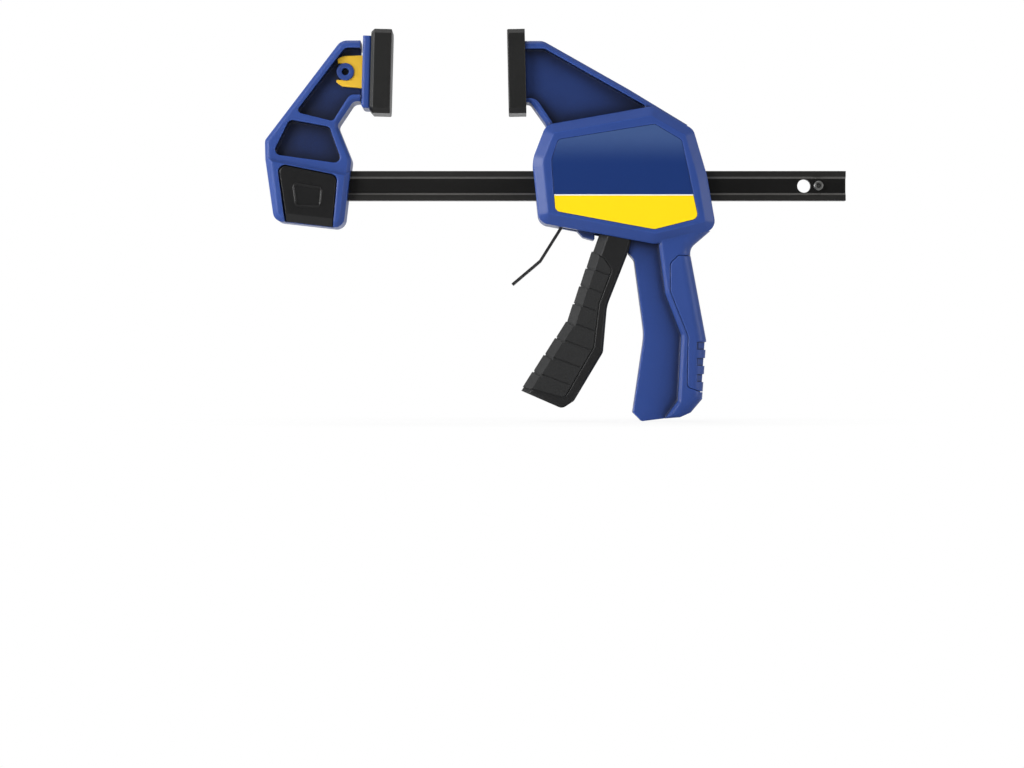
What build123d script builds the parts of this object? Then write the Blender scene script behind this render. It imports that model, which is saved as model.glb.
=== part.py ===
from build123d import *
import math
import os

# Quick release bar clamp, in millimetres and degrees.
# X runs along the bar from the sliding head towards the handle, Y across the clamp away
# from the side with the button, Z up. The origin is the centre of the housing's jaw pad,
# on the face that grips. Most pieces are symmetric about the plane Y = 0, and a half
# width is measured from that plane.

# ---- Driving dimensions ----

# Reach of the jaws
throat_depth = 79.0            # pad centre down to the centreline of the bar
jaw_opening = 81.2             # gap between the two pads as stored
toe_in = 1.2                   # lean of the housing's pad, top towards the head
swivel_lean = 1.5              # lean of the swivel pad at rest, top towards the housing

# Jaw pads
pad_height = 58.6
pad_half_width = 16.0
fixed_pad_thickness = 12.3
swivel_pad_thickness = 14.4
pad_side_bevel = 3.2           # bevel along the pad's top and bottom side edges
pad_back_bevel = 2.2
pad_face_edge = 0.9

# Bar
bar_length = 396.0
bar_height = 20.6
bar_width = 8.0
bar_web = 4.4
bar_flange = 3.6
bar_shoulder = 1.9             # height of the slope between a flange and the web
bar_end_reach = 78.8           # swivel pad's face back to the end of the bar in the head
bar_hole_radius = 4.7
bar_hole_inset = 29.0          # end of the bar to its round hole
stop_pin_radius = 3.3
stop_pin_half_length = 7.0
stop_pin_rim = 0.7
stop_pin_dimple = 1.6
stop_pin_dimple_depth = 1.2
stop_pin_inset = 19.2

# Sliding head
head_half_width = 14.5
head_edge = 2.4
head_block_half_width = 16.5   # thicker lower end around the button
head_block_bevel = 3.4
head_rim = 4.4                 # rim around the upper pocket
head_web_half_width = 5.0
head_socket_play = 0.05
head_end_wall = 9.0            # wall behind the end of the bar
boss_radius = 6.0
boss_half_width = 10.2
boss_bore = 2.5
boss_bore_depth = 6.0          # blind, from each end
boss_back = 32.0               # swivel pad's face back to the boss
head_end_back = 21.4           # swivel pad's face back to the head's end face

# Pad carrier and its fork
carrier_height = 50.2
carrier_thickness = 5.7
carrier_half_width = 14.0
carrier_drop = 0.9             # carrier centre below the pad centre
fork_cheek = 3.6
fork_play = 0.1                # radial, around the boss
fork_gap = 0.3                 # between a cheek and the head's web
fork_mouth = 11.6              # opening between the prongs, a little under the boss
fork_base_thickness = 2.0
fork_base_height = 27.0

# Release button in the head
button_thickness = 3.0
button_gap = 0.5
button_travel = 3.5
button_sink = 0.3              # button's face below the head's face
button_facet = 5.4             # sloping lower end of the button
button_lip = 0.5               # edge left below that slope
button_edge = 0.6
button_leg = 3.0
button_leg_half_width = 5.9
button_bracket = 2.0           # plate behind the face that reaches up to the upper leg
button_bridge = 2.0
button_bridge_gap = 1.2        # bridge behind the bar's flanges
peg_play = 0.1
peg_reach = 0.8                # peg's tip beyond the middle of the bar
head_back_wall = 2.2
button_spring_radius = 3.0
button_spring_wire = 0.35
button_spring_turns = 3

# Housing
arm_half_width = 13.0
arm_edge = 2.4
arm_web_half_width = 5.0
body_half_width = 20.0
body_bevel_height = 7.0
body_bevel_width = 5.0
cavity_half_width = 14.6
bar_slot_play = 0.1
lip_half_width = 8.0
label_thickness = 0.6
label_recess = 0.5
label_gap = 0.35               # groove around the label

# Handle
web_half_width = 8.0
handle_half_width = 16.0
handle_back_round = 8.0
handle_front_edge = 2.0
grip_thickness = 2.0
grip_groove = 0.5
finger_rest_depth = 1.2

# Trigger
pivot_x = 84.0
pivot_above_bar = 15.5
pivot_pin_radius = 3.0
pivot_play = 0.06
pivot_pin_half_length = 17.4
hub_radius = 6.6
trigger_half_width = 13.5
trigger_cheek = 4.2
trigger_front_wall = 4.6
trigger_bevel = 6.0
trigger_rim_bevel = 1.8
nose_x = 84.2
nose_drop = 31.5               # pivot down to the round nose that pushes the plates
nose_radius = 3.0
trigger_grip_thickness = 2.0
tread_height = 1.1
tread_groove = 0.9
trigger_grip_groove = 0.7       # line around the grip, on the sides of the trigger

# Drive and brake
plate_thickness = 3.0
plate_half_width = 8.0
plate_play = 0.25
plate_gap = 0.15
plate_above = 14.4
plate_below = 20.4
coil_chords = 10               # straight chords that one turn of a spring is drawn with
drive_spring_radius = 12.3
drive_spring_gap = 0.05
drive_spring_wire = 0.9
drive_spring_turns = 4
brake_thickness = 2.0
brake_half_width = 8.0
brake_lean = 7.0
brake_pivot_x = 48.6
brake_pivot_above_bar = 17.0
brake_above_bar = 20.9         # upper end of the brake plate, over the bar's centreline
brake_below_bar = 18.0
brake_play = 0.45
tail_half_width = 5.5
brake_spring_below_bar = 15.5
brake_spring_radius = 2.6
brake_spring_wire = 0.4
brake_spring_turns = 3
brake_rib_x = 56.0
brake_rib = 2.4

# Wells in the back half for the screws that hold the two halves together
screw_well_radius = 3.6
screw_well_depth = 5.0

# ---- Places worked out from those ----

bar_z = -throat_depth
bar_top = bar_z + bar_height / 2
bar_bottom = bar_z - bar_height / 2
bar_left = -(jaw_opening + bar_end_reach)
bar_right = bar_left + bar_length
pivot_z = bar_z + pivot_above_bar


def upright(x, lean=0.0):
    """Plane across the clamp at x, facing the button side; its second axis leans to +X."""
    turn = math.radians(lean)
    return Plane(
        origin=(x, 0, 0),
        x_dir=(math.cos(turn), 0, -math.sin(turn)),
        z_dir=(0, -1, 0),
    )


head_plane = upright(-jaw_opening)
swivel_plane = upright(-jaw_opening, swivel_lean)
fixed_plane = upright(0, -toe_in)


def outline(corners, plane=Plane.XZ, level=0.0):
    """Face inside a closed outline of (x, z, corner radius), at a height off the plane."""
    with BuildSketch(plane.offset(level)) as face:
        with BuildLine():
            FilletPolyline(
                *[(x, z) for x, z, radius in corners],
                radius=[radius for x, z, radius in corners],
                close=True,
            )
        make_face()
    return face.sketch


def edges_at(part, level):
    """The edges of a part that lie flat at Y = level."""
    flat = part.edges().filter_by(Plane.XZ)
    return flat.filter_by(lambda edge: abs(edge.center().Y - level) < 0.001)


def box_between(low, high, mode=Mode.ADD):
    """Box from its lowest to its highest corner."""
    size = [b - a for a, b in zip(low, high)]
    middle = tuple((a + b) / 2 for a, b in zip(low, high))
    with Locations(middle):
        Box(*size, mode=mode)


def coil(name, start, length, radius, wire, turns, along=Vector(1, 0, 0), side=Vector(0, 1, 0)):
    """Compression spring along an axis, its six-sided wire inside the given length."""
    up = along.cross(side)
    chords = turns * coil_chords
    rise = (length - 2 * wire) / chords
    points = [
        Vector(start)
        + along * (wire + number * rise)
        + side * (radius * math.cos(2 * math.pi * number / coil_chords))
        + up * (radius * math.sin(2 * math.pi * number / coil_chords))
        for number in range(chords + 1)
    ]
    with BuildPart() as spring:
        with BuildLine() as path:
            Polyline(*points)
        with BuildSketch(Plane(origin=path.line @ 0, x_dir=along, z_dir=path.line % 0)):
            RegularPolygon(wire, 6)
        sweep(transition=Transition.RIGHT)
    finish(spring.part, name)


def finish(part, name):
    """Label a finished piece and write its STEP file."""
    part.label = name
    export_step(part, f"parts/{name}.step")


os.makedirs("parts", exist_ok=True)

# ---- Bar and its stop pins ----

hole_places = [bar_left + bar_hole_inset, bar_right - bar_hole_inset]
pin_places = [bar_left + stop_pin_inset, bar_right - stop_pin_inset]
recess_height = bar_height - 2 * bar_flange

with BuildPart() as bar:
    with BuildSketch(Plane.YZ.offset(bar_left)):
        with Locations((0, bar_z)):
            Rectangle(bar_width, bar_height)
        for side in (-1, 1):
            with BuildLine():
                Polyline(
                    (side * bar_web / 2, bar_z - recess_height / 2 + bar_shoulder),
                    (side * bar_web / 2, bar_z + recess_height / 2 - bar_shoulder),
                    (side * bar_width / 2, bar_z + recess_height / 2),
                    (side * bar_width / 2, bar_z - recess_height / 2),
                    close=True,
                )
            make_face(mode=Mode.SUBTRACT)
    extrude(amount=bar_length)
    with BuildSketch(Plane.XZ.offset(-bar_width)):
        with Locations(*[(x, bar_z) for x in hole_places]):
            Circle(bar_hole_radius)
        with Locations(*[(x, bar_z) for x in pin_places]):
            Circle(stop_pin_radius)
    extrude(amount=2 * bar_width, mode=Mode.SUBTRACT)
finish(bar.part, "bar")

with BuildPart() as stop_pins:
    with BuildSketch(Plane.XZ.offset(-stop_pin_half_length)):
        with Locations(*[(x, bar_z) for x in pin_places]):
            Circle(stop_pin_radius)
    extrude(amount=2 * stop_pin_half_length)
    chamfer(stop_pins.edges().filter_by(GeomType.CIRCLE), length=stop_pin_rim)
    for side in (-1, 1):
        with BuildSketch(Plane.XZ.offset(side * stop_pin_half_length)):
            with Locations(*[(x, bar_z) for x in pin_places]):
                Circle(stop_pin_dimple)
        extrude(amount=-side * stop_pin_dimple_depth, mode=Mode.SUBTRACT)
finish(stop_pins.part, "stop_pins")

# ---- Jaw pads, swivel carrier and fork ----


def jaw_pad(plane, near, far, back):
    """Soft pad between two distances along the plane's first axis; back is its rear end."""
    with BuildPart() as pad:
        with BuildSketch(plane):
            with Locations(((near + far) / 2, 0)):
                Rectangle(far - near, pad_height)
        extrude(amount=pad_half_width, both=True)
        along = plane.x_dir
        rails = pad.edges().filter_by(Axis((0, 0, 0), along))
        chamfer(rails, length=pad_side_bevel)
        ends = pad.faces().filter_by(Axis((0, 0, 0), along))
        gripping = ends.sort_by(lambda face: abs(face.center().X - plane.origin.X))[0]
        fillet(gripping.edges(), radius=pad_face_edge)
        if back:
            rear = pad.faces().filter_by(Axis((0, 0, 0), along))
            rear = rear.sort_by(lambda face: abs(face.center().X - plane.origin.X))[-1]
            chamfer(rear.edges(), length=pad_back_bevel)
    return pad.part


with BuildPart() as housing_jaw_pad:
    add(jaw_pad(fixed_plane, 0, fixed_pad_thickness, back=False))
finish(housing_jaw_pad.part, "housing_jaw_pad")

with BuildPart() as swivel_jaw_pad:
    add(jaw_pad(swivel_plane, -swivel_pad_thickness, 0, back=True))
finish(swivel_jaw_pad.part, "swivel_jaw_pad")

cheek_near = head_web_half_width + fork_gap
cheek_far = cheek_near + fork_cheek
carrier_back = -(swivel_pad_thickness + carrier_thickness)
fork_side = [
    (-swivel_pad_thickness, 11.2, 0),
    (-boss_back - 1.6, 10.1, 5),
    (-boss_back - 5.6, 8.0, 1),
    (-boss_back - 4.6, 0.0, 0),
    (-boss_back - 6.2, -8.0, 1),
    (-boss_back - 2.4, -10.9, 5),
    (-swivel_pad_thickness, -12.3, 0),
]
boss_spot = head_plane.from_local_coords((-boss_back, 0, 0))
boss_in_swivel = swivel_plane.to_local_coords(boss_spot)

with BuildPart() as swivel_fork:
    for side in (-1, 1):
        extrude(outline(fork_side, swivel_plane, side * cheek_near), amount=side * fork_cheek)
    with BuildSketch(swivel_plane):
        with Locations((boss_in_swivel.X, boss_in_swivel.Y)):
            Circle(boss_radius + fork_play)
        with Locations((boss_in_swivel.X - boss_radius, boss_in_swivel.Y)):
            Rectangle(2 * boss_radius, fork_mouth)
    extrude(amount=cheek_far, both=True, mode=Mode.SUBTRACT)
    with BuildSketch(swivel_plane):
        with Locations((-swivel_pad_thickness - fork_base_thickness / 2, 0)):
            Rectangle(fork_base_thickness, fork_base_height)
    extrude(amount=cheek_far + 1.5, both=True)
finish(swivel_fork.part, "swivel_fork")

with BuildPart() as pad_carrier:
    with BuildSketch(swivel_plane) as carrier_side:
        with Locations(((carrier_back - swivel_pad_thickness) / 2, -carrier_drop)):
            Rectangle(carrier_thickness, carrier_height)
        fillet(carrier_side.vertices().sort_by(Axis.Z)[0:1], radius=2.5)
    extrude(amount=carrier_half_width, both=True)
    chamfer(edges_at(pad_carrier, carrier_half_width), length=1)
    chamfer(edges_at(pad_carrier, -carrier_half_width), length=1)
    add(swivel_fork.part, mode=Mode.SUBTRACT)
finish(pad_carrier.part, "pad_carrier")

# ---- Sliding head ----

head_outline = [
    (-head_end_back, 21.5, 0),
    (-34.8, 21.5, 8),
    (-bar_end_reach - head_end_wall, bar_z + 31.0, 5),
    (-bar_end_reach - head_end_wall + 0.3, bar_z + 18.0, 0),
    (-81.4, bar_z - 25.0, 7),
    (-33.2, bar_z - 30.4, 7),
    (-27.7, bar_z + 17.5, 7),
    (-37.4, bar_z + 41.4, 4),
    (-26.2, -20.8, 5),
    (-head_end_back, -20.8, 0),
]
upper_pocket = [
    (-head_end_back + 2, 21.5 - head_rim - 0.8, 0),
    (-32.2, 21.5 - head_rim - 0.8, 6),
    (-66.3, -28.5, 2.5),
    (-40.4, -34.9, 2.5),
    (-28.6, -20.8 + head_rim, 6),
    (-head_end_back + 2, -20.8 + head_rim, 0),
]
lower_pocket = [
    (-70.6, -33.6, 3.5),
    (-42.7, -38.7, 3.5),
    (-33.4, bar_z + 14.4, 4),
    (-82.6, bar_z + 21.2, 4),
]
block_outline = [
    (-86.7, bar_z + 20.0, 0),
    (-28.6, bar_z + 8.8, 0),
    (-33.2, bar_z - 30.4, 7),
    (-81.4, bar_z - 25.0, 7),
]
window_outline = [
    (-79.2, bar_z + 15.0, 5),
    (-36.9, bar_z + 6.6, 5),
    (-40.7, bar_z - 36.0, 0),
    (-72.4, bar_z - 36.0, 0),
]
button_face = head_block_half_width - button_sink
button_back = button_face - button_thickness
window_depth = button_sink + button_thickness + button_travel + button_gap
window_floor = head_block_half_width - window_depth
leg_top = bar_height / 2 + button_gap + button_leg
bridge_near = bar_width / 2 + button_bridge_gap
bridge_far = bridge_near + button_bridge
leg_room = button_leg_half_width + button_gap
bridge_room = bridge_far + button_travel + button_gap
well_floor = head_block_half_width - head_back_wall

with BuildPart() as jaw_head:
    extrude(outline(head_outline, head_plane), amount=head_half_width)
    rim = edges_at(jaw_head, -head_half_width)
    rim = rim.filter_by(lambda edge: edge.center().X < -jaw_opening - head_end_back - 0.01)
    chamfer(rim, length=head_edge)
    with BuildPart(mode=Mode.PRIVATE) as lower_block:
        extrude(outline(block_outline, head_plane), amount=head_block_half_width)
        chamfer(edges_at(lower_block, -head_block_half_width), length=head_block_bevel)
    add(lower_block.part)
    extrude(
        outline(upper_pocket, head_plane, head_web_half_width),
        amount=head_half_width,
        mode=Mode.SUBTRACT,
    )
    extrude(
        outline(lower_pocket, head_plane, head_web_half_width),
        amount=head_half_width,
        mode=Mode.SUBTRACT,
    )
    with BuildSketch(head_plane):
        with Locations((-boss_back, 0)):
            Circle(boss_radius)
    extrude(amount=boss_half_width)
    mirror(about=Plane.XZ)
    for end in (-boss_half_width, boss_half_width - boss_bore_depth):
        with BuildSketch(head_plane.offset(end)):
            with Locations((-boss_back, 0)):
                Circle(boss_bore)
        extrude(amount=boss_bore_depth, mode=Mode.SUBTRACT)
    # socket for the bar, with a channel for the stop pin
    box_between(
        (bar_left, -bar_width / 2 - head_socket_play, bar_bottom - head_socket_play),
        (-jaw_opening, bar_width / 2 + head_socket_play, bar_top + head_socket_play),
        mode=Mode.SUBTRACT,
    )
    box_between(
        (pin_places[0] - stop_pin_radius - 0.4, -stop_pin_half_length - 0.3, bar_z - stop_pin_radius - 0.3),
        (-jaw_opening, stop_pin_half_length + 0.3, bar_z + stop_pin_radius + 0.3),
        mode=Mode.SUBTRACT,
    )
    # window for the button, open at the bottom, and the wells behind the bar
    extrude(
        outline(window_outline, head_plane, window_floor),
        amount=window_depth + 1,
        mode=Mode.SUBTRACT,
    )
    box_between(
        (hole_places[0] - leg_room, -window_floor - 0.1, bar_z - leg_top - button_gap),
        (hole_places[0] + leg_room, bridge_room, bar_z + leg_top + button_gap),
        mode=Mode.SUBTRACT,
    )
    with BuildSketch(Plane.XZ.offset(-well_floor)):
        with Locations((hole_places[0], bar_z)):
            Circle(button_spring_radius + button_gap)
    extrude(amount=well_floor - bridge_room, mode=Mode.SUBTRACT)
    box_between(
        (hole_places[0] - leg_room, -button_back - 0.2, bar_z),
        (hole_places[0] + leg_room, 0, bar_z + leg_top + button_gap),
        mode=Mode.SUBTRACT,
    )
finish(jaw_head.part, "jaw_head")

# ---- Release button, its peg and spring ----

button_outline = [
    (-79.2 + 1.2 * button_gap, bar_z + 15.0 - 1.2 * button_gap, 4.6),
    (-36.9 - button_gap, bar_z + 6.6 - button_gap, 4.6),
    (-40.3 - button_gap, bar_z - 29.4, 0),
    (-73.0 + button_gap, bar_z - 25.7, 0),
]
frame_outline = [
    (-68.2, bar_z + 1.6, 3),
    (-47.4, bar_z - 1.9, 3),
    (-48.6, bar_z - 15.6, 3),
    (-66.4, bar_z - 15.0, 3),
]
frame_width = 0.9
frame_height = 0.5
peg_radius = bar_hole_radius - peg_play

with BuildPart() as release_button:
    extrude(outline(button_outline, head_plane, button_back), amount=button_thickness)
    lower_edge = edges_at(release_button, -button_face).sort_by(Axis.Z)[0]
    front = release_button.faces().sort_by(Axis.Y)[0]
    chamfer(lower_edge, length=button_facet, length2=button_thickness - button_lip, reference=front)
    chamfer(edges_at(release_button, -button_face).sort_by(Axis.Z)[1:], length=button_edge)
    raised_frame = outline(frame_outline, head_plane, button_face)
    extrude(raised_frame, amount=frame_height)
    extrude(
        offset(raised_frame, amount=-frame_width, mode=Mode.PRIVATE),
        amount=frame_height,
        mode=Mode.SUBTRACT,
    )
    # two legs pass the bar above and below and meet in the bridge behind it
    for side in (-1, 1):
        near_z = bar_z + side * (bar_height / 2 + button_gap)
        far_z = near_z + side * button_leg
        box_between(
            (hole_places[0] - button_leg_half_width, -button_back, min(near_z, far_z)),
            (hole_places[0] + button_leg_half_width, bridge_far, max(near_z, far_z)),
        )
    box_between(
        (hole_places[0] - button_leg_half_width, -button_back, bar_z - 6),
        (hole_places[0] + button_leg_half_width, button_bracket - button_back, bar_z + leg_top),
    )
    box_between(
        (hole_places[0] - button_leg_half_width, bridge_near, bar_z - leg_top),
        (hole_places[0] + button_leg_half_width, bridge_far, bar_z + leg_top),
    )
    with BuildSketch(Plane.XZ):
        with Locations((hole_places[0], bar_z)):
            Circle(peg_radius)
    extrude(amount=-2 * bridge_far, mode=Mode.SUBTRACT)
finish(release_button.part, "release_button")

with BuildPart() as lock_peg:
    with BuildSketch(Plane.XZ.offset(peg_reach)):
        with Locations((hole_places[0], bar_z)):
            Circle(peg_radius)
    extrude(amount=-(peg_reach + bridge_far))
finish(lock_peg.part, "lock_peg")

coil(
    "button_spring",
    (hole_places[0], bridge_far, bar_z),
    well_floor - bridge_far,
    button_spring_radius,
    button_spring_wire,
    button_spring_turns,
    along=Vector(0, 1, 0),
    side=Vector(0, 0, 1),
)

# ---- Handle: raised grip and its soft overlay, near half ----

handle_outline = [
    (104.5, bar_z - 33.0, 0),
    (104.9, bar_z - 42.0, 0),
    (109.4, bar_z - 75.5, 0),
    (120.6, bar_z - 104.5, 0),
    (118.2, bar_z - 150.0, 0),
    (109.4, bar_z - 162.4, 0),
    (119.5, bar_z - 161.6, 0),
    (127.6, bar_z - 158.2, 0),
    (135.4, bar_z - 149.0, 0),
    (138.2, bar_z - 108.0, 0),
    (126.4, bar_z - 44.5, 8),
    (141.0, bar_z - 32.0, 0),
]
handle_middle = 122.0
handle_edge_top = bar_z - 34.0      # the rounded edges run between these two heights
handle_edge_foot = bar_z - 156.0
core_corner = 2 - math.sqrt(2)      # chamfer that just clears a rounded corner
overlay_outline = [
    (113.1, bar_z - 54.6, 4),
    (118.4, bar_z - 49.4, 1.5),
    (150.0, bar_z - 49.4, 0),
    (150.0, bar_z - 144.6, 0),
    (134.0, bar_z - 143.6, 0),
    (124.7, bar_z - 140.4, 3),
    (125.4, bar_z - 105.5, 5),
    (113.0, bar_z - 74.0, 8),
]
finger_rest_count = 3
finger_rest_pitch = 11.2
finger_rest_height = 5.5
finger_rest_top = bar_z - 109.2
finger_rest_front = 131.3


def handle_form(inset):
    """Near half of the raised grip, its surface set in by a depth."""
    with BuildSketch(Plane.XZ) as side:
        add(outline(handle_outline))
        if inset:
            offset(amount=-inset, kind=Kind.INTERSECTION)
    with BuildPart() as form:
        extrude(side.sketch, amount=handle_half_width - inset)
        if not inset:
            front = edges_at(form, -handle_half_width).filter_by(
                lambda edge: edge.center().X < handle_middle - 1
                and edge.center().Z < handle_edge_top
            )
            chamfer(front, length=handle_front_edge)
        back = edges_at(form, inset - handle_half_width).filter_by(
            lambda edge: edge.center().X > handle_middle + inset
            and handle_edge_foot < edge.center().Z < handle_edge_top
        )
        if inset:
            chamfer(back, length=core_corner * (handle_back_round - inset))
        else:
            fillet(back, radius=handle_back_round)
    return form.part


handle_outer = handle_form(0)
handle_core = handle_form(grip_thickness)

with BuildPart() as grip_half:
    add(handle_outer)
    with BuildPart(mode=Mode.PRIVATE) as overlay_reach:
        extrude(outline(overlay_outline), amount=handle_half_width + 1)
    add(overlay_reach.part, mode=Mode.INTERSECT)
    add(handle_core, mode=Mode.SUBTRACT)

with BuildPart() as grip_recess:
    with BuildSketch(Plane.XZ) as grooved_outline:
        add(outline(overlay_outline))
        offset(amount=grip_groove, kind=Kind.ARC)
    with BuildPart(mode=Mode.PRIVATE) as groove_reach:
        extrude(grooved_outline.sketch, amount=handle_half_width + 1)
    add(groove_reach.part)
    add(handle_core, mode=Mode.SUBTRACT)

with BuildPart() as handle_grip:
    add(grip_half.part)
    with BuildPart(mode=Mode.PRIVATE) as rest_bands:
        for number in range(finger_rest_count):
            top = finger_rest_top - number * finger_rest_pitch
            box_between(
                (finger_rest_front, -handle_half_width - 1, top - finger_rest_height),
                (finger_rest_front + 20, 0, top),
            )
        add(handle_form(finger_rest_depth), mode=Mode.SUBTRACT)
    add(rest_bands.part, mode=Mode.SUBTRACT)
    mirror(about=Plane.XZ)
finish(handle_grip.part, "handle_grip")

# ---- Housing ----


def pad_back(z):
    """X of the back face of the leaning jaw pad at a height."""
    return (fixed_pad_thickness - z * math.sin(math.radians(toe_in))) / math.cos(math.radians(toe_in))


arm_outline = [
    (pad_back(21.3), 21.3, 0),
    (24.6, 21.3, 10),
    (84.0, bar_z + 66.7, 90),
    (125.0, bar_z + 41.8, 0),
    (118.0, bar_z + 30.0, 0),
    (30.0, bar_z + 19.0, 0),
    (26.8, bar_z + 42.0, 8),
    (15.6, -21.3, 3.5),
    (pad_back(-21.3), -21.3, 0),
]
body_outline = [
    (17.0, bar_z + 17.0, 20),
    (26.4, bar_z + 41.5, 9),
    (100.5, bar_z + 54.5, 8),
    (128.8, bar_z + 38.4, 8),
    (138.2, bar_z + 6.5, 40),
    (144.8, bar_z - 31.2, 8),
    (102.6, bar_z - 41.4, 18),
    (21.6, bar_z - 26.3, 8),
]
arm_pocket = [
    (pad_back(0) - 4, 15.8, 0),
    (25.6, 15.8, 6),
    (96.0, bar_z + 54.9, 2.5),
    (94.0, bar_z + 47.0, 0),
    (32.6, bar_z + 40.8, 4),
    (19.6, -18.8, 8),
    (pad_back(0) - 4, -18.8, 0),
]
cavity_right = 134.2
cavity_outline = [
    (39.0, bar_z + 24.0, 0),
    (60.0, bar_z + 31.0, 0),
    (112.0, bar_z + 31.0, 0),
    (131.0, bar_z + 17.0, 0),
    (cavity_right, bar_z + 7.0, 0),
    (cavity_right, bar_z - 18.6, 0),
    (39.0, bar_z - 18.6, 0),
]
trigger_slot_front = 60.6
trigger_slot_back = 103.9
trigger_slot = [
    (trigger_slot_front, bar_z - 10, 0),
    (trigger_slot_back, bar_z - 10, 0),
    (trigger_slot_back, bar_z - 50, 0),
    (trigger_slot_front, bar_z - 50, 0),
]
tail_slot = [
    (41.5, bar_z - 17, 0),
    (55.0, bar_z - 17, 0),
    (47.0, bar_z - 34, 0),
    (33.4, bar_z - 34, 0),
]
lip_outline = [
    (44.0, bar_z - 26, 0),
    (trigger_slot_front - 0.2, bar_z - 26, 0),
    (trigger_slot_front - 0.2, bar_z - 38.4, 1),
    (52.2, bar_z - 36.0, 2),
    (47.6, bar_z - 31.0, 0),
]
web_outline = [
    (84.3, bar_z - 33, 0),
    (84.3, bar_z - 47.6, 0.8),
    (88.2, bar_z - 52.0, 5),
    (95.2, bar_z - 104.0, 40),
    (87.2, bar_z - 158.2, 1),
    (93.4, bar_z - 164.4, 1.5),
    (109.4, bar_z - 162.4, 0),
    (120.0, bar_z - 161.6, 0),
    (126.0, bar_z - 105.0, 0),
    (118.0, bar_z - 33, 0),
]
label_outline = [
    (35.0, bar_z + 30.8, 3),
    (101.8, bar_z + 41.4, 3),
    (120.2, bar_z + 30.4, 3),
    (131.8, bar_z - 23.6, 4),
    (101.5, bar_z - 31.2, 6),
    (33.0, bar_z - 18.6, 4),
    (30.4, bar_z + 17.0, 12),
]
body_wells = [(31.0, bar_z + 29.0), (117.5, bar_z + 33.4), (127.0, bar_z - 25.6), (31.5, bar_z - 17.4)]
handle_wells = [(122.5, bar_z - 152.0)]

with BuildPart() as shell_form:
    # arm that carries the jaw pad, with a deep pocket each side
    extrude(outline(arm_outline), amount=arm_half_width)
    rim = edges_at(shell_form, -arm_half_width).filter_by(
        lambda edge: edge.center().Z > bar_z + 38 and edge.center().X > pad_back(0) + 0.8
    )
    chamfer(rim, length=arm_edge)
    with BuildPart(mode=Mode.PRIVATE) as body_block:
        extrude(outline(body_outline), amount=body_half_width)
        plateau = body_block.faces().filter_by(Axis.Y).sort_by(Axis.Y)[0]
        chamfer(plateau.edges(), length=body_bevel_height, length2=body_bevel_width, reference=plateau)
    extrude(
        outline(arm_pocket, level=arm_web_half_width),
        amount=arm_half_width,
        mode=Mode.SUBTRACT,
    )
    add(body_block.part)
    extrude(outline(lip_outline), amount=lip_half_width)
    # hollow for the drive and the brake, open below for the trigger and the tail
    extrude(outline(cavity_outline), amount=cavity_half_width, mode=Mode.SUBTRACT)
    extrude(outline(trigger_slot), amount=cavity_half_width - 0.2, mode=Mode.SUBTRACT)
    extrude(outline(tail_slot), amount=tail_half_width + 1, mode=Mode.SUBTRACT)
    box_between(
        (0, -bar_width / 2 - bar_slot_play, bar_bottom - bar_slot_play),
        (150, 0, bar_top + bar_slot_play),
        mode=Mode.SUBTRACT,
    )
    # handle: thin web in front, raised grip behind
    extrude(outline(web_outline), amount=web_half_width)
    add(handle_outer)
    add(grip_recess.part, mode=Mode.SUBTRACT)
    # rib that backs the brake spring, and two small ribs that hold the brake's upper end
    box_between(
        (brake_rib_x, -cavity_half_width - 1, bar_z - 20),
        (brake_rib_x + brake_rib, 0, bar_bottom - 0.6),
    )
    for x in (brake_pivot_x - 3.0, brake_pivot_x + 2.1):
        box_between((x, -cavity_half_width - 1, bar_z + 20.6), (x + 1.5, 0, bar_z + 29))
    with BuildSketch(Plane.XZ):
        with Locations((pivot_x, pivot_z)):
            Circle(pivot_pin_radius)
    extrude(amount=pivot_pin_half_length, mode=Mode.SUBTRACT)

with BuildPart() as housing_front:
    add(shell_form.part)
    label_bed = outline(label_outline, level=body_half_width - label_recess)
    extrude(
        offset(label_bed, amount=label_gap, mode=Mode.PRIVATE),
        amount=label_thickness,
        mode=Mode.SUBTRACT,
    )
finish(housing_front.part, "housing_front")

with BuildPart() as label_plate:
    extrude(outline(label_outline, level=body_half_width - label_recess), amount=label_thickness)
finish(label_plate.part, "label_plate")

with BuildPart() as housing_back:
    add(mirror(shell_form.part, about=Plane.XZ, mode=Mode.PRIVATE))
    for places, level in ((body_wells, body_half_width), (handle_wells, handle_half_width)):
        with BuildSketch(Plane.XZ.offset(-level)):
            with Locations(*places):
                Circle(screw_well_radius)
        extrude(amount=screw_well_depth, mode=Mode.SUBTRACT)
finish(housing_back.part, "housing_back")

with BuildPart() as trigger_pin:
    with BuildSketch(Plane.XZ.offset(-pivot_pin_half_length)):
        with Locations((pivot_x, pivot_z)):
            Circle(pivot_pin_radius)
    extrude(amount=2 * pivot_pin_half_length)
finish(trigger_pin.part, "trigger_pin")

# ---- Trigger: lever that straddles the handle's web, and its treaded grip ----

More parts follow.
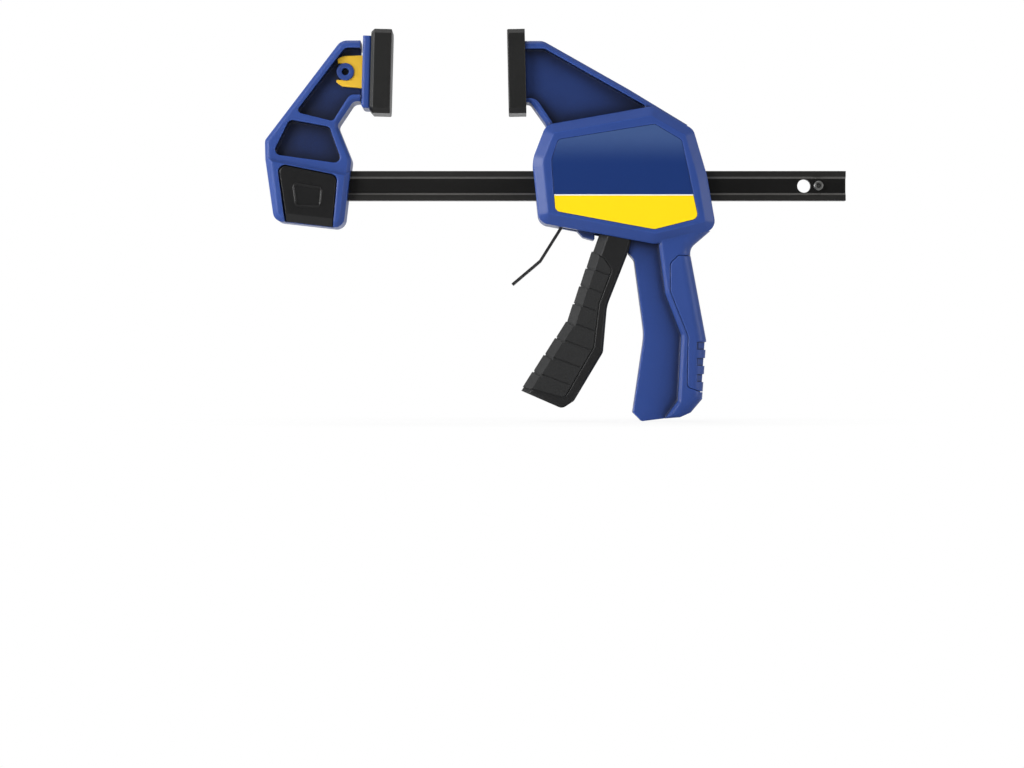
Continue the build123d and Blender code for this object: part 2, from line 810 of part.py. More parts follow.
front_top = Vector(66.5, bar_z - 27.0)
front_bend = Vector(42.4, bar_z - 94.2)
front_foot = Vector(9.4, bar_z - 143.2)
trigger_outline = [
    (pivot_x - hub_radius, pivot_z, 0),
    (front_top.X, front_top.Y, 0),
    (front_bend.X, front_bend.Y, 60),
    (front_foot.X, front_foot.Y, 0),
    (37.8, bar_z - 155.6, 5),
    (46.0, bar_z - 150.2, 4),
    (66.2, bar_z - 116.4, 6),
    (69.0, bar_z - 84.0, 30),
    (86.0, bar_z - 41.0, 60),
    (pivot_x + hub_radius, pivot_z, 0),
]
channel_foot = bar_z - 166.0   # past the trigger's lower end
trigger_channel = [
    (front_top.X - 10, pivot_z + 23.5, 0),
    (front_top.X - 10, front_top.Y + 2, 0),
    (front_top.X + trigger_front_wall, front_top.Y + 2, 0),
    (front_bend.X + trigger_front_wall, front_bend.Y, 60),
    (front_foot.X + 1.35 * trigger_front_wall, front_foot.Y, 2),
    (30.0, bar_z - 149.4, 2),
    (31.5, channel_foot, 0),
    (100.0, channel_foot, 0),
    (100.0, pivot_z + 23.5, 0),
]
trigger_grip_reach = [
    (40.0, bar_z - 35.8, 0),
    (67.0, bar_z - 50.7, 3),
    (72.6, bar_z - 59.0, 3),
    (63.6, bar_z - 82.8, 10),
    (60.0, bar_z - 113.0, 6),
    (39.6, bar_z - 148.6, 4),
    (-10.0, bar_z - 134.8, 0),
]
tread_lengths = [13.2, 13.2, 13.2, 13.4, 13.8, 14.2, 14.2, 14.0]
tread_start = 19.0             # down the front from its upper corner
tread_slope = 20.5
side_groove_lengths = [10.0, 9.0, 9.4, 14.2, 19.0, 19.5, 20.5]
side_groove_depth = 0.6
side_groove_width = 0.8


def trigger_middle(z):
    """X that parts the trigger's front from its back at a height."""
    return front_top.X + 12.0 + (z - front_top.Y) * 0.432


def trigger_form(inset):
    """Near half of the trigger's outer form, its surface set in by a depth."""
    with BuildSketch(Plane.XZ) as side:
        add(outline(trigger_outline))
        if inset:
            offset(amount=-inset, kind=Kind.INTERSECTION)
    with BuildPart() as form:
        extrude(side.sketch, amount=trigger_half_width - inset)
        front = edges_at(form, inset - trigger_half_width).filter_by(
            lambda edge: front_foot.Y < edge.center().Z < front_top.Y
            and edge.center().X < trigger_middle(edge.center().Z)
        )
        chamfer(front, length=trigger_bevel - 0.6 * inset)
    return form.part


def front_point(distance):
    """Point on the trigger's front and the direction down it, a distance from its top."""
    upper = front_bend - front_top
    if distance < upper.length:
        return front_top + upper.normalized() * distance, upper.normalized()
    lower = (front_foot - front_bend).normalized()
    return front_bend + lower * (distance - upper.length), lower


with BuildPart() as trigger_grip:
    add(trigger_form(0))
    for number, length in enumerate(tread_lengths):
        begin = tread_start + sum(tread_lengths[:number])
        top, down = front_point(begin + tread_groove)
        low, low_down = front_point(begin + length - tread_groove / 2)
        out = Vector(-down.Y, down.X) * -1
        low_out = Vector(-low_down.Y, low_down.X) * -1
        corners = [
            top + out * tread_height,
            low + low_out * tread_height * 0.6,
            low - low_out * (trigger_bevel + 1),
            top - out * (trigger_bevel + 1),
        ]
        outside = (corners[0] + corners[1]) / 2
        with BuildPart(mode=Mode.PRIVATE) as tread:
            extrude(outline([(p.X, p.Y, 0) for p in corners]), amount=trigger_half_width)
            rim = edges_at(tread, -trigger_half_width)
            spot = Vector(outside.X, -trigger_half_width, outside.Y)
            chamfer(rim.sort_by_distance(spot)[0], length=trigger_bevel)
        add(tread.part)
    with BuildPart(mode=Mode.PRIVATE) as grip_reach:
        extrude(outline(trigger_grip_reach), amount=trigger_half_width + 1)
    add(grip_reach.part, mode=Mode.INTERSECT)
    add(trigger_form(trigger_grip_thickness), mode=Mode.SUBTRACT)
    for number, length in enumerate(side_groove_lengths):
        notch, down = front_point(tread_start + sum(tread_lengths[: number + 1]))
        inward = Vector(1, -math.tan(math.radians(tread_slope))).normalized()
        start = notch + inward * trigger_bevel
        with BuildSketch(Plane.XZ.offset(trigger_half_width - side_groove_depth)):
            middle = start + inward * (length / 2)
            with Locations(Location((middle.X, middle.Y, 0), (0, 0, -tread_slope))):
                Rectangle(length, side_groove_width)
        extrude(amount=1, mode=Mode.SUBTRACT)
    grip_side = outline(trigger_grip_reach, level=trigger_half_width - side_groove_depth)
    grip_line = grip_side - offset(grip_side, amount=-trigger_grip_groove, mode=Mode.PRIVATE)
    extrude(grip_line, amount=1, mode=Mode.SUBTRACT)
    mirror(about=Plane.XZ)
finish(trigger_grip.part, "trigger_grip")

with BuildPart() as trigger_lever:
    add(trigger_form(0))
    back_rim = edges_at(trigger_lever, -trigger_half_width).filter_by(
        lambda edge: edge.center().Z < front_foot.Y
        or edge.center().Z < front_top.Y
        and edge.center().X > trigger_middle(edge.center().Z)
    )
    chamfer(back_rim, length=trigger_rim_bevel)
    with BuildPart(mode=Mode.PRIVATE) as grip_space:
        extrude(outline(trigger_grip_reach), amount=trigger_half_width + 1)
        add(trigger_form(trigger_grip_thickness), mode=Mode.SUBTRACT)
    add(grip_space.part, mode=Mode.SUBTRACT)
    with BuildSketch(Plane.XZ):
        with Locations((pivot_x, pivot_z)):
            Circle(hub_radius)
    extrude(amount=trigger_half_width)
    cheek_level = trigger_half_width - trigger_cheek
    extrude(outline(trigger_channel), amount=cheek_level, mode=Mode.SUBTRACT)
    with BuildSketch(Plane.XZ):
        with Locations((pivot_x, pivot_z)):
            Circle(pivot_pin_radius + pivot_play)
    extrude(amount=trigger_half_width, mode=Mode.SUBTRACT)
    mirror(about=Plane.XZ)
    with BuildSketch(Plane.XZ.offset(-cheek_level - 1)):
        with Locations((nose_x, pivot_z - nose_drop)):
            Circle(nose_radius)
    extrude(amount=2 * (cheek_level + 1))
finish(trigger_lever.part, "trigger_lever")

# ---- Drive: two plates on the bar, pushed by the trigger's nose, and their spring ----

plates_left = nose_x + nose_radius + plate_gap
plates_right = plates_left + 2 * plate_thickness + plate_gap
with BuildPart() as drive_plates:
    for left in (plates_left, plates_left + plate_thickness + plate_gap):
        box_between(
            (left, -plate_half_width, bar_z - plate_below),
            (left + plate_thickness, plate_half_width, bar_z + plate_above),
        )
    box_between(
        (plates_left - 1, -bar_width / 2 - plate_play, bar_bottom - plate_play),
        (plates_right + 1, bar_width / 2 + plate_play, bar_top + plate_play),
        Mode.SUBTRACT,
    )
finish(drive_plates.part, "drive_plates")

coil(
    "drive_spring",
    (plates_right + drive_spring_gap, 0, bar_z),
    cavity_right - plates_right - 2 * drive_spring_gap,
    drive_spring_radius,
    drive_spring_wire,
    drive_spring_turns,
)

# ---- Brake: leaning plate on the bar, whose lower end is the release tail ----

brake_pivot_z = bar_z + brake_pivot_above_bar
lean = math.tan(math.radians(brake_lean))


def brake_point(z):
    """Point on the middle of the brake plate at a height."""
    return (brake_pivot_x - (brake_pivot_z - z) * lean, z)


brake_middle = [
    brake_point(bar_z + brake_above_bar),
    brake_point(bar_z - brake_below_bar),
    (36.5, bar_z - 30.4),
    (22.6, bar_z - 52.6),
    (3.2, bar_z - 69.0),
]
with BuildPart() as release_lever:
    with BuildSketch(Plane.XZ) as strip:
        with BuildLine():
            FilletPolyline(*brake_middle, radius=4)
        trace(line_width=brake_thickness)
    extrude(amount=brake_half_width, both=True)
    for side in (-1, 1):
        box_between(
            (-20, min(side * tail_half_width, side * 20), bar_z - 91.0),
            (60, max(side * tail_half_width, side * 20), bar_z - brake_below_bar + 0.8),
            Mode.SUBTRACT,
        )
    box_between(
        (brake_pivot_x - 15, -bar_width / 2 - brake_play, bar_bottom - brake_play),
        (brake_pivot_x + 15, bar_width / 2 + brake_play, bar_top + brake_play),
        Mode.SUBTRACT,
    )
finish(release_lever.part, "release_lever")

brake_spring_z = bar_z - brake_spring_below_bar
brake_spring_start = brake_point(brake_spring_z + 3)[0] + brake_thickness / 2 + 0.25
coil(
    "brake_spring",
    (brake_spring_start, 0, brake_spring_z),
    brake_rib_x - brake_spring_start - 0.05,
    brake_spring_radius,
    brake_spring_wire,
    brake_spring_turns,
)
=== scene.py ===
"""Looks of a one-handed quick release bar clamp, on the frame of its CAD model."""

import math

import bpy
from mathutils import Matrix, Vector


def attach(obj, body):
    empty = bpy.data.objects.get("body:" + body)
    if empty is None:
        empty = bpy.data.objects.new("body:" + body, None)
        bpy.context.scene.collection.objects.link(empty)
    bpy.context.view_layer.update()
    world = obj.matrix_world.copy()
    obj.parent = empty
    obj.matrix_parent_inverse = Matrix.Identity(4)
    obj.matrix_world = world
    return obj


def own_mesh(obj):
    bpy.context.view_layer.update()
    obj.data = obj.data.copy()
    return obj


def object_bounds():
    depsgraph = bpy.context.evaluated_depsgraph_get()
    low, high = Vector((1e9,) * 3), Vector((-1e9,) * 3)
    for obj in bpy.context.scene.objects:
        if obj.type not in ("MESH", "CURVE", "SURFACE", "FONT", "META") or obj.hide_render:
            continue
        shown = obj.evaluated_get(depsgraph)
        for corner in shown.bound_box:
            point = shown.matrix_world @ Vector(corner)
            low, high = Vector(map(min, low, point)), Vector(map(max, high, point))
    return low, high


MM = 0.001

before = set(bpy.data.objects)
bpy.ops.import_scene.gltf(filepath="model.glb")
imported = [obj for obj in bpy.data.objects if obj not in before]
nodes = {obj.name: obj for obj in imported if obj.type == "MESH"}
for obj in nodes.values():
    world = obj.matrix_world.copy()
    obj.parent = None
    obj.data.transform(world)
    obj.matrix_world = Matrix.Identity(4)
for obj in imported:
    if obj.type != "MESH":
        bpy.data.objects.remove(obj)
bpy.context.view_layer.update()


# ---- Shader maths ----

EDGE_SAMPLES = 6
SKY_SAMPLES = 8
MIX_LOW, MIX_HIGH, MIXED = 6, 7, 2  # a Mix node's two colours and its mixed colour


class Wire:
    """An output of a shader node; Python's operators on it add Math nodes."""

    def __init__(self, finish, socket):
        self.finish = finish
        self.socket = socket

    def math(self, operation, *values):
        """A Math node on numbers and wires."""
        inputs = dict(enumerate(values))
        return self.finish.node("Math", {"operation": operation}, inputs)

    def __add__(self, other):
        return self.math("ADD", self, other)

    def __radd__(self, other):
        return self.math("ADD", other, self)

    def __sub__(self, other):
        return self.math("SUBTRACT", self, other)

    def __rsub__(self, other):
        return self.math("SUBTRACT", other, self)

    def __mul__(self, other):
        return self.math("MULTIPLY", self, other)

    def __rmul__(self, other):
        return self.math("MULTIPLY", other, self)

    def __abs__(self):
        return self.math("ABSOLUTE", self)

    def soft(self, low, high):
        """0 below low, 1 above high, smooth between; the other way round when low is above high."""
        inputs = {"Value": self, "From Min": low, "From Max": high}
        return self.finish.node("MapRange", {"interpolation_type": "SMOOTHSTEP"}, inputs)

    def brightens(self, by):
        """A factor of 1 where this mask is 0, and 1 + by where it is 1."""
        return self * by + 1.0

    def darkens(self, by):
        """A factor of 1 where this mask is 0, and 1 - by where it is 1."""
        return 1.0 - self * by

    def from_dark(self, least):
        """A factor of least where this mask is 0, and 1 where it is 1."""
        return self * (1.0 - least) + least


class Finish:
    """The nodes of a material or of the world."""

    def __init__(self, owner):
        self.owner = owner
        self.owner.use_nodes = True
        self.tree = self.owner.node_tree
        self.tree.nodes.clear()
        self.place = self.node("TexCoord", output="Object")

    @property
    def y(self):
        """Place across the clamp, from its middle plane."""
        return self.part_of(self.place, "Y")

    @property
    def z(self):
        """Height."""
        return self.part_of(self.place, "Z")

    def part_of(self, vector, axis):
        """One axis of a vector wire."""
        return self.node("SeparateXYZ", inputs={0: vector}, output=axis)

    def node(self, kind, settings=None, inputs=None, output=0):
        """Adds a node: its settings first, then the values or wires of its sockets."""
        made = self.tree.nodes.new("ShaderNode" + kind)
        for name, value in (settings or {}).items():
            setattr(made, name, value)
        for name, value in (inputs or {}).items():
            if isinstance(value, Wire):
                self.tree.links.new(value.socket, made.inputs[name])
            else:
                made.inputs[name].default_value = value
        return None if output is None else Wire(self, made.outputs[output])

    def noise(self, per_metre, detail, stretch=(1, 1, 1)):
        """Cloudy values from 0 to 1, with so many lumps to the metre."""
        spot = self.node("VectorMath", {"operation": "MULTIPLY"}, {0: self.place, 1: stretch})
        inputs = {"Vector": spot, "Scale": per_metre, "Detail": detail}
        return self.node("TexNoise", inputs=inputs, output="Fac")

    def blend(self, share, low, high):
        """Mixes two colours by a share from 0 to 1."""
        settings = {"data_type": "RGBA"}
        inputs = {0: share, MIX_LOW: colour(low), MIX_HIGH: colour(high)}
        return self.node("Mix", settings, inputs, output=MIXED)

    def tint(self, base, factor):
        """A colour or wire, darkened or brightened by a factor that may vary."""
        settings = {"data_type": "RGBA", "blend_type": "MULTIPLY"}
        grey = self.node("CombineColor", inputs={0: factor, 1: factor, 2: factor})
        inputs = {0: 1.0, MIX_LOW: colour(base), MIX_HIGH: grey}
        return self.node("Mix", settings, inputs, output=MIXED)

    def rounded(self, radius):
        """Normals that round the part's edges, by a radius in millimetres."""
        return self.node("Bevel", {"samples": EDGE_SAMPLES}, {"Radius": radius * MM})

    def edge(self, round_edge, least_turn=0.99, full_turn=0.86):
        """1 along edges that the rounded normals turn, 0 elsewhere, by the cosine of the turn."""
        flat = self.node("NewGeometry", output="Normal")
        settings = {"operation": "DOT_PRODUCT"}
        turned = self.node("VectorMath", settings, {0: flat, 1: round_edge}, output="Value")
        return turned.soft(least_turn, full_turn)

    def hollow(self, reach, open_sky=0.95, deep_sky=0.25):
        """1 deep in the part's own corners and grooves, 0 in the open, by the share of sky seen.

        The reach is how far away, in millimetres, a wall still hides the sky.
        """
        settings = {"samples": SKY_SAMPLES, "only_local": True}
        sky = self.node("AmbientOcclusion", settings, {"Distance": reach * MM}, output="AO")
        return sky.soft(open_sky, deep_sky)

    def facing_y(self):
        """How far a face looks across the clamp, from -1 to 1."""
        return self.part_of(self.node("TexCoord", output="Normal"), "Y")

    def relief(self, height, round_edge):
        """Bump of a height wire in millimetres, over normals that round the part's edges."""
        return self.node("Bump", inputs={"Height": height, "Distance": MM, "Normal": round_edge})

    def surface(self, **sockets):
        """The Principled shader; a socket's name has its spaces as underscores."""
        inputs = {name.replace("_", " "): colour(value) for name, value in sockets.items()}
        shader = self.node("BsdfPrincipled", inputs=inputs)
        self.node("OutputMaterial", inputs={"Surface": shader}, output=None)
        return self.owner


def colour(value):
    """A colour with its alpha; anything else as it is."""
    if isinstance(value, tuple) and len(value) == 3:
        return (*value, 1.0)
    return value


def uneven(middle, noises, painted_edge_highlight=None, rubbed_loss=0.0):
    """A value that noises spread evenly about its middle, each by its own spread.

    Where an edge mask is given, the value is lower there by rubbed_loss.
    """
    (first, first_spread), *others = noises
    value = first * first_spread
    for noise, spread in others:
        value = value + noise * spread
    if painted_edge_highlight is not None:
        value = value - painted_edge_highlight * rubbed_loss
    return value + (middle - sum(spread for _, spread in noises) / 2)


# ---- Finishes ----


def moulded_plastic(
    name, deep, pale, rough, grain_depth=0.05, edge_radius=1.1, pocket_floors=None
):
    """Moulded nylon: spark-eroded grain, faint clouding, the mould's parting line, painted
    highlights along its edges and painted shade in its corners, grooves and under overhangs.

    pocket_floors gives two distances from the middle plane, in millimetres. Faces that look across
    the clamp get painted shade up to the first distance, and less and less of it from there to the
    second.
    """
    seam_tone = 0.55
    seam_depth = 0.12
    f = Finish(bpy.data.materials.new(name))
    round_edge = f.rounded(edge_radius)
    grain = f.noise(per_metre=1700, detail=3)
    cloud = f.noise(per_metre=22, detail=3)
    # Painted highlight: this edge mask lightens the colour along edges; it also makes them
    # glossier.
    painted_edge_highlight = f.edge(round_edge)
    off_seam = abs(f.y).soft(0.08 * MM, 0.25 * MM)
    # Painted shade: both sky masks darken the colour in corners, grooves and under overhangs; the
    # parting line's dark core is the joint's own colour.
    painted_shelter_shade = f.hollow(28, open_sky=0.97, deep_sky=0.70)
    seam_and_painted_shade = off_seam.from_dark(seam_tone) * f.hollow(34).darkens(0.7) * painted_shelter_shade.darkens(0.5)
    if pocket_floors:
        # Painted shade on the pocket floors, by their distance from the middle plane.
        shaded_to, unshaded_from = (distance * MM for distance in pocket_floors)
        faces_side = abs(f.facing_y()).soft(0.75, 0.95)
        painted_floor_shade = abs(f.y).soft(unshaded_from, shaded_to) * faces_side
        seam_and_painted_shade = seam_and_painted_shade * painted_floor_shade.darkens(0.3)
    height = grain * grain_depth + off_seam * seam_depth
    return f.surface(
        Base_Color=f.tint(f.blend(cloud, deep, pale), seam_and_painted_shade * painted_edge_highlight.brightens(0.5)),
        Roughness=uneven(rough, [(grain, 0.12), (cloud, 0.06)], painted_edge_highlight, rubbed_loss=0.06),
        Normal=f.relief(height, round_edge),
        Specular_IOR_Level=0.27,
    )


def soft_rubber(name, deep, pale, rough, grain_depth, edge_radius=0.8, painted_highlight_gain=0.9):
    """Soft moulded rubber: stippled, a little dusty in broad patches, painted highlight on edges.
    """
    dust_share = 0.6
    f = Finish(bpy.data.materials.new(name))
    round_edge = f.rounded(edge_radius)
    stipple = f.noise(per_metre=1100, detail=2)
    dust = f.noise(per_metre=35, detail=4)
    # Painted highlight: this edge mask lightens the colour along edges; it also makes them
    # glossier.
    painted_edge_highlight = f.edge(round_edge)
    base = f.blend(dust * dust_share + stipple * (1.0 - dust_share), deep, pale)
    return f.surface(
        Base_Color=f.tint(base, painted_edge_highlight.brightens(painted_highlight_gain)),
        Roughness=uneven(rough, [(stipple, 0.14), (dust, 0.08)], painted_edge_highlight, rubbed_loss=0.08),
        Normal=f.relief(stipple * grain_depth, round_edge),
        Specular_IOR_Level=0.28,
    )


def oxide_steel(name):
    """Black oxide bar: drawn lines along it; painted light on its flanges and flange-to-web slopes.
    """
    deep = (0.004, 0.0039, 0.0038)
    pale = (0.034, 0.033, 0.031)
    slope_highlight_grey = (0.115, 0.112, 0.107)
    painted_flange_light = 0.4
    cloud_share = 0.2
    line_depth = 0.03
    f = Finish(bpy.data.materials.new(name))
    round_edge = f.rounded(0.45)
    drawn = f.noise(per_metre=900, detail=3, stretch=(0.02, 1, 1))
    cloud = f.noise(per_metre=14, detail=3, stretch=(0.6, 1, 1))
    # Painted highlight: the slopes between flange and web are lightened towards bare steel.
    above_web = abs(f.y).soft(2.25 * MM, 2.55 * MM)
    on_flange = abs(f.y).soft(3.5 * MM, 3.8 * MM)
    painted_slope_highlight = above_web * (1.0 - on_flange) * uneven(1.0, [(drawn, 0.5)])
    # Painted light: the flange faces are paler than the recessed web.
    oxide = f.blend(on_flange * painted_flange_light + cloud * cloud_share, deep, pale)
    return f.surface(
        Base_Color=f.blend(painted_slope_highlight, oxide, slope_highlight_grey),
        Roughness=uneven(0.37, [(drawn, 0.16), (cloud, 0.1)]),
        Metallic=0.3,
        Normal=f.relief(drawn * line_depth, round_edge),
        Specular_IOR_Level=0.22,
    )


def plain_steel(name, base, rough, per_metre=700, painted_hollow_shade=0.0):
    """Ground or drawn steel with fine uneven lines and, where asked, painted shade in its hollows.
    """
    line_depth = 0.03
    f = Finish(bpy.data.materials.new(name))
    lines = f.noise(per_metre, detail=3, stretch=(1, 1, 0.08))
    tone = uneven(1.0, [(f.noise(per_metre=60, detail=2), 0.3)])
    # Painted shade: darker in the part's own hollows.
    if painted_hollow_shade:
        tone = tone * f.hollow(4).darkens(painted_hollow_shade)
    return f.surface(
        Base_Color=f.tint(base, tone),
        Roughness=uneven(rough, [(lines, 0.2)]),
        Metallic=1.0,
        Normal=f.relief(lines * line_depth, f.rounded(0.2)),
    )


def plated_steel(name):
    """Black plated sheet and screws, worn a little in patches and on edges."""
    deep = (0.010, 0.010, 0.011)
    pale = (0.034, 0.034, 0.036)
    patch_wear = 0.7
    edge_wear = 0.6
    patch_depth = 0.02
    f = Finish(bpy.data.materials.new(name))
    round_edge = f.rounded(0.3)
    patch = f.noise(per_metre=160, detail=3)
    wear = patch.soft(0.45, 0.8) * patch_wear + f.edge(round_edge) * edge_wear
    return f.surface(
        Base_Color=f.blend(wear, deep, pale),
        Roughness=uneven(0.36, [(patch, 0.2)]),
        Metallic=0.3,
        Normal=f.relief(patch * patch_depth, round_edge),
    )


def printed_plate(name):
    """Bare printed plate: navy paled towards the top by a painted sheen, a thin pale rule, yellow
    below.
    """
    navy_deep = (0.0065, 0.028, 0.138)
    sheen_navy = (0.042, 0.082, 0.215)
    yellow = (0.93, 0.645, 0.004)
    rule_grey = (0.74, 0.76, 0.80)
    fade_from = -66 * MM
    fade_to = -42 * MM
    rule_top = -86.1 * MM
    rule_bottom = -86.9 * MM
    blur = 0.1 * MM
    film_depth = 0.012
    f = Finish(bpy.data.materials.new(name))
    # Painted sheen: the navy pales towards the top.
    painted_sheen = f.z.soft(fade_from, fade_to)
    film = f.noise(per_metre=900, detail=2)
    navy = f.blend(painted_sheen, navy_deep, sheen_navy)
    over_rule = f.z.soft(rule_top - blur, rule_top + blur)
    over_yellow = f.z.soft(rule_bottom - blur, rule_bottom + blur)
    lower = f.blend(over_yellow, yellow, rule_grey)
    return f.surface(
        Base_Color=f.blend(over_rule, lower, navy),
        Roughness=uneven(0.30, [(film, 0.08)]),
        Normal=f.relief(film * film_depth, f.rounded(0.2)),
        Specular_IOR_Level=0.22,
    )


nylon_blue = ((0.020, 0.052, 0.222), (0.025, 0.061, 0.250))
nylon_black = ((0.0075, 0.0075, 0.0078), (0.011, 0.011, 0.0113))
nylon_yellow = ((0.76, 0.45, 0.028), (0.82, 0.50, 0.036))
pad_black = ((0.0075, 0.0075, 0.0073), (0.0125, 0.0125, 0.012))
tread_black = ((0.0095, 0.0098, 0.010), (0.016, 0.0163, 0.0166))

blue_plastic = moulded_plastic(
    "blue_nylon", *nylon_blue, rough=0.33, edge_radius=2.0, pocket_floors=(5.2, 7.4)
)
blue_overlay = moulded_plastic(
    "blue_overlay", *nylon_blue, rough=0.42, grain_depth=0.07, edge_radius=1.4
)
black_plastic = moulded_plastic("black_nylon", *nylon_black, rough=0.34)
gloss_plastic = moulded_plastic("gloss_black_nylon", *nylon_black, rough=0.22, grain_depth=0.02)
yellow_plastic = moulded_plastic("yellow_nylon", *nylon_yellow, rough=0.34)
pad_rubber = soft_rubber("pad_rubber", *pad_black, rough=0.34, grain_depth=0.04)
tread_rubber = soft_rubber(
    "tread_rubber", *tread_black, rough=0.56, grain_depth=0.16, edge_radius=0.4, painted_highlight_gain=0.1
)
bar_steel = oxide_steel("black_oxide_steel")
bright_steel = plain_steel("ground_steel", (0.55, 0.55, 0.54), rough=0.3)
spring_steel = plain_steel("spring_wire", (0.36, 0.36, 0.37), rough=0.28, per_metre=300)
pin_steel = plain_steel("oiled_pin_steel", (0.19, 0.19, 0.185), rough=0.36, painted_hollow_shade=0.95)
dark_steel = plated_steel("black_plated_steel")
label_print = printed_plate("label_print")

finishes = {
    blue_plastic: ["housing_front", "housing_back", "jaw_head", "pad_carrier"],
    blue_overlay: ["handle_grip"],
    black_plastic: ["trigger_lever"],
    gloss_plastic: ["release_button"],
    yellow_plastic: ["swivel_fork"],
    pad_rubber: ["housing_jaw_pad", "swivel_jaw_pad"],
    tread_rubber: ["trigger_grip"],
    bar_steel: ["bar"],
    bright_steel: ["trigger_pin", "drive_plates", "lock_peg"],
    spring_steel: ["drive_spring", "brake_spring", "button_spring"],
    pin_steel: ["stop_pins"],
    dark_steel: ["release_lever"],
    label_print: ["label_plate"],
}
for finish, names in finishes.items():
    for name in names:
        nodes[name].data.materials.clear()
        nodes[name].data.materials.append(finish)


# ---- Screws that hold the housing's halves together, in millimetres ----


def ring_of(corners, radius, height):
    """Points of a round ring about the screw's axis."""
    angles = [2 * math.pi * k / corners for k in range(corners)]
    return [(radius * math.cos(a), height, radius * math.sin(a)) for a in angles]


def hexagon_ring(corners, across_flats, height):
    """Points of a hexagon, as many as the round rings that it is joined to."""
    points = []
    for k in range(corners):
        angle = 2 * math.pi * k / corners
        off_flat = (angle % (math.pi / 3)) - math.pi / 6
        radius = across_flats / 2 / math.cos(off_flat)
        points.append((radius * math.cos(angle), height, radius * math.sin(angle)))
    return points


def socket_screw(name, place):
    """Pan head with a hexagonal socket on a short shank, seated on the floor of its well."""
    around = 36
    shank_radius = 1.7
    shank_length = 2.0
    head_radius = 3.35
    head_height = 2.4
    foot_width = 0.15
    foot_height = 0.2
    rim_radius = 0.8
    rim_steps = 5
    socket_mouth = 1.75
    socket_flats = 2.5
    socket_bevel = 0.25
    socket_depth = 1.5
    crease = math.radians(50)

    profile = [
        (shank_radius, -shank_length),
        (shank_radius, 0.0),
        (head_radius - foot_width, 0.0),
        (head_radius, foot_height),
    ]
    for step in range(rim_steps + 1):
        angle = math.pi / 2 * step / rim_steps
        out = head_radius - rim_radius + rim_radius * math.cos(angle)
        profile.append((out, head_height - rim_radius + rim_radius * math.sin(angle)))
    profile.append((socket_mouth, head_height))
    rings = [ring_of(around, radius, height) for radius, height in profile]
    rings.append(hexagon_ring(around, socket_flats, head_height - socket_bevel))
    rings.append(hexagon_ring(around, socket_flats, head_height - socket_depth))

    points = [Vector(p) * MM + Vector(place) * MM for ring in rings for p in ring]
    faces = []
    for low in range(len(rings) - 1):
        for k in range(around):
            a = low * around + k
            b = low * around + (k + 1) % around
            faces.append((a, a + around, b + around, b))
    faces.append(tuple(range(around)))
    last = (len(rings) - 1) * around
    faces.append(tuple(reversed(range(last, last + around))))

    mesh = bpy.data.meshes.new(name)
    mesh.from_pydata(points, [], faces)
    for face in mesh.polygons:
        face.use_smooth = True
    mesh.set_sharp_from_angle(angle=crease)
    mesh.materials.append(dark_steel)
    screw = bpy.data.objects.new(name, mesh)
    bpy.context.scene.collection.objects.link(screw)
    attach(screw, "housing")


body_floor = 15.02
handle_floor = 11.02
screw_places = [
    (31.0, body_floor, -50.0),
    (117.5, body_floor, -45.6),
    (127.0, body_floor, -104.6),
    (31.5, body_floor, -96.4),
    (122.5, handle_floor, -231.0),
]
for number, place in enumerate(screw_places, 1):
    socket_screw(f"housing_screw_{number}", place)


# ---- Springs, each given its own copy of its mesh ----


def spring_shortens(name):
    """Gives the spring its own copy of its mesh."""
    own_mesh(nodes[name])


spring_shortens("drive_spring")
spring_shortens("brake_spring")
spring_shortens("button_spring")


# ---- Stage, light and camera, in metres ----

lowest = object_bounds()[0][2]
lamps_aim = Vector((0.03, 0, -0.1))
lamp_distance = 2.7
plain_light = 0.38
camera_distance = 1.85
camera_place = (0.00287, -camera_distance, -0.21746)
picture_width = 0.7168  # at the clamp's middle plane
sensor_width = 36.0  # millimetres, as the lens


def white_studio():
    """World: plain grey light on the object, white behind it.

    Its reflection is pale to the sides and above, a little darker behind and dark in front.
    """
    side_mirror = 0.8
    front_loss = 0.6
    back_loss = 0.2
    world = Finish(bpy.data.worlds.new("white_studio"))
    looking = world.node("TexCoord", output="Generated")
    across = world.part_of(looking, "Y")
    to_front = across.soft(-0.30, -0.90)
    to_back = across.soft(0.30, 0.90)
    mirrored = side_mirror - to_front * front_loss - to_back * back_loss
    glossy = world.node("LightPath", output="Is Glossy Ray")
    seen = world.node("LightPath", output="Is Camera Ray")
    through = world.node("LightPath", output="Is Transmission Ray")
    white = seen.math("MAXIMUM", seen, through)
    soft = glossy * (mirrored - plain_light) + plain_light
    strength = white + (1.0 - white) * soft
    light = world.node("Background", inputs={"Color": (1, 1, 1, 1), "Strength": strength})
    world.node("OutputWorld", inputs={"Surface": light}, output=None)
    bpy.context.scene.world = world.owner


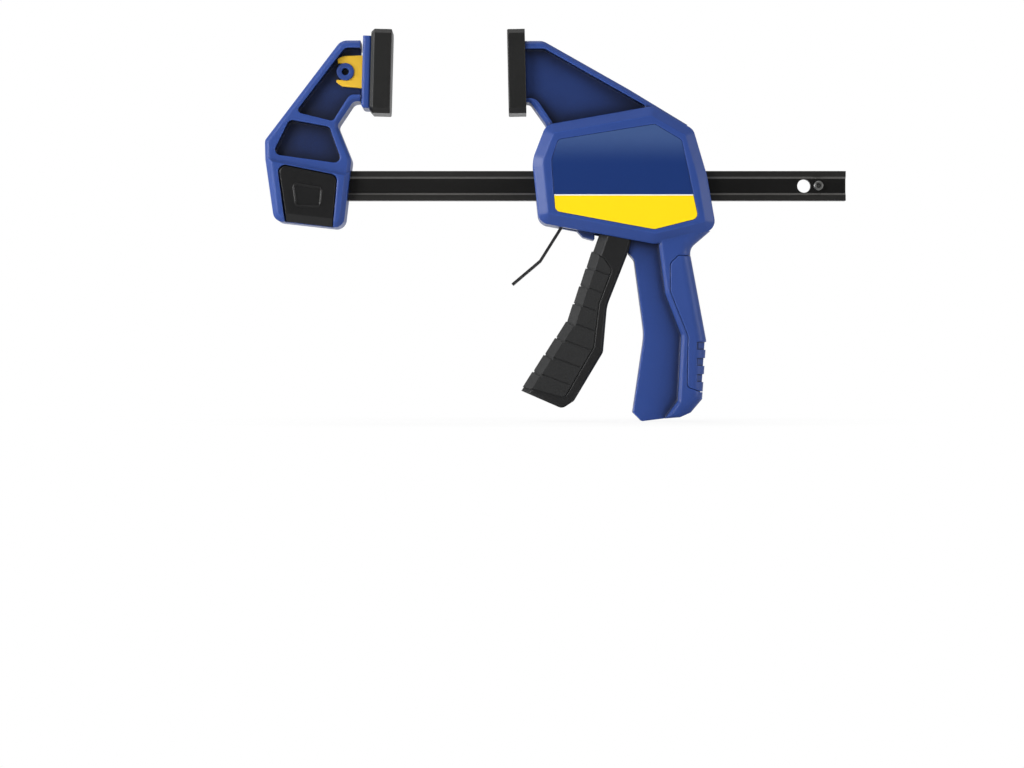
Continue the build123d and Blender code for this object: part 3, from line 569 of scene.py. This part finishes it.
def pale_floor():
    """Pale floor just under the clamp; it keeps the shadow and fades to white for the camera."""
    half = 6.0
    white_near = 0.85
    fade_from = 0.22
    fade_to = 0.42
    mesh = bpy.data.meshes.new("floor")
    signs = [(-1, -1), (1, -1), (1, 1), (-1, 1)]
    mesh.from_pydata([(x * half, y * half, lowest) for x, y in signs], [], [(0, 1, 2, 3)])
    floor = bpy.data.objects.new("floor", mesh)
    bpy.context.scene.collection.objects.link(floor)
    f = Finish(bpy.data.materials.new("floor_white"))
    speck = f.noise(per_metre=40, detail=2)
    base = f.blend(speck, (0.86, 0.86, 0.86), (0.90, 0.90, 0.90))
    matt = f.node("BsdfPrincipled", inputs={"Base Color": base, "Roughness": 0.8})
    white = f.node("Emission", inputs={"Color": (1, 1, 1, 1), "Strength": 1.0})
    away = f.node("VectorMath", {"operation": "LENGTH"}, {0: f.place}, output="Value")
    far = away.soft(fade_from, fade_to)
    seen = f.node("LightPath", output="Is Camera Ray")
    whiteness = seen * far.from_dark(white_near)
    mixed = f.node("MixShader", inputs={0: whiteness, 1: matt, 2: white})
    f.node("OutputMaterial", inputs={"Surface": mixed}, output=None)
    floor.data.materials.append(f.owner)


def soft_lamp(name, direction, width, height, strength):
    """Soft box that faces the clamp.

    Its strength is the share of a surface's own colour that the surface shows by it, face on.
    """
    lamp = bpy.data.lights.new(name, "AREA")
    lamp.shape = "RECTANGLE"
    lamp.size = width
    lamp.size_y = height
    lamp.energy = strength * math.pi**2 * lamp_distance**2
    made = bpy.data.objects.new(name, lamp)
    away = Vector(direction).normalized()
    made.location = lamps_aim + away * lamp_distance
    made.rotation_euler = (-away).to_track_quat("-Z", "Y").to_euler()
    bpy.context.scene.collection.objects.link(made)


def camera():
    """Camera square to the clamp's front."""
    lens = bpy.data.cameras.new("camera")
    lens.sensor_width = sensor_width
    lens.lens = sensor_width * camera_distance / picture_width
    made = bpy.data.objects.new("camera", lens)
    made.location = camera_place
    made.rotation_euler = (math.pi / 2, 0, 0)
    bpy.context.scene.collection.objects.link(made)
    bpy.context.scene.camera = made


white_studio()
pale_floor()
soft_lamp("left", (-1.0, -0.30, 0.08), width=0.8, height=1.6, strength=0.78)
soft_lamp("top", (-0.1, 0.1, 1.0), width=1.8, height=0.8, strength=0.05)
soft_lamp("front", (-0.55, -0.70, 0.25), width=1.2, height=1.0, strength=0.5)
soft_lamp("right", (1.0, -0.45, 0.05), width=0.8, height=1.6, strength=0.38)
soft_lamp("back", (-0.3, 0.8, 0.85), width=1.4, height=1.2, strength=0.45)
camera()

view = bpy.context.scene.view_settings
view.view_transform = "Standard"
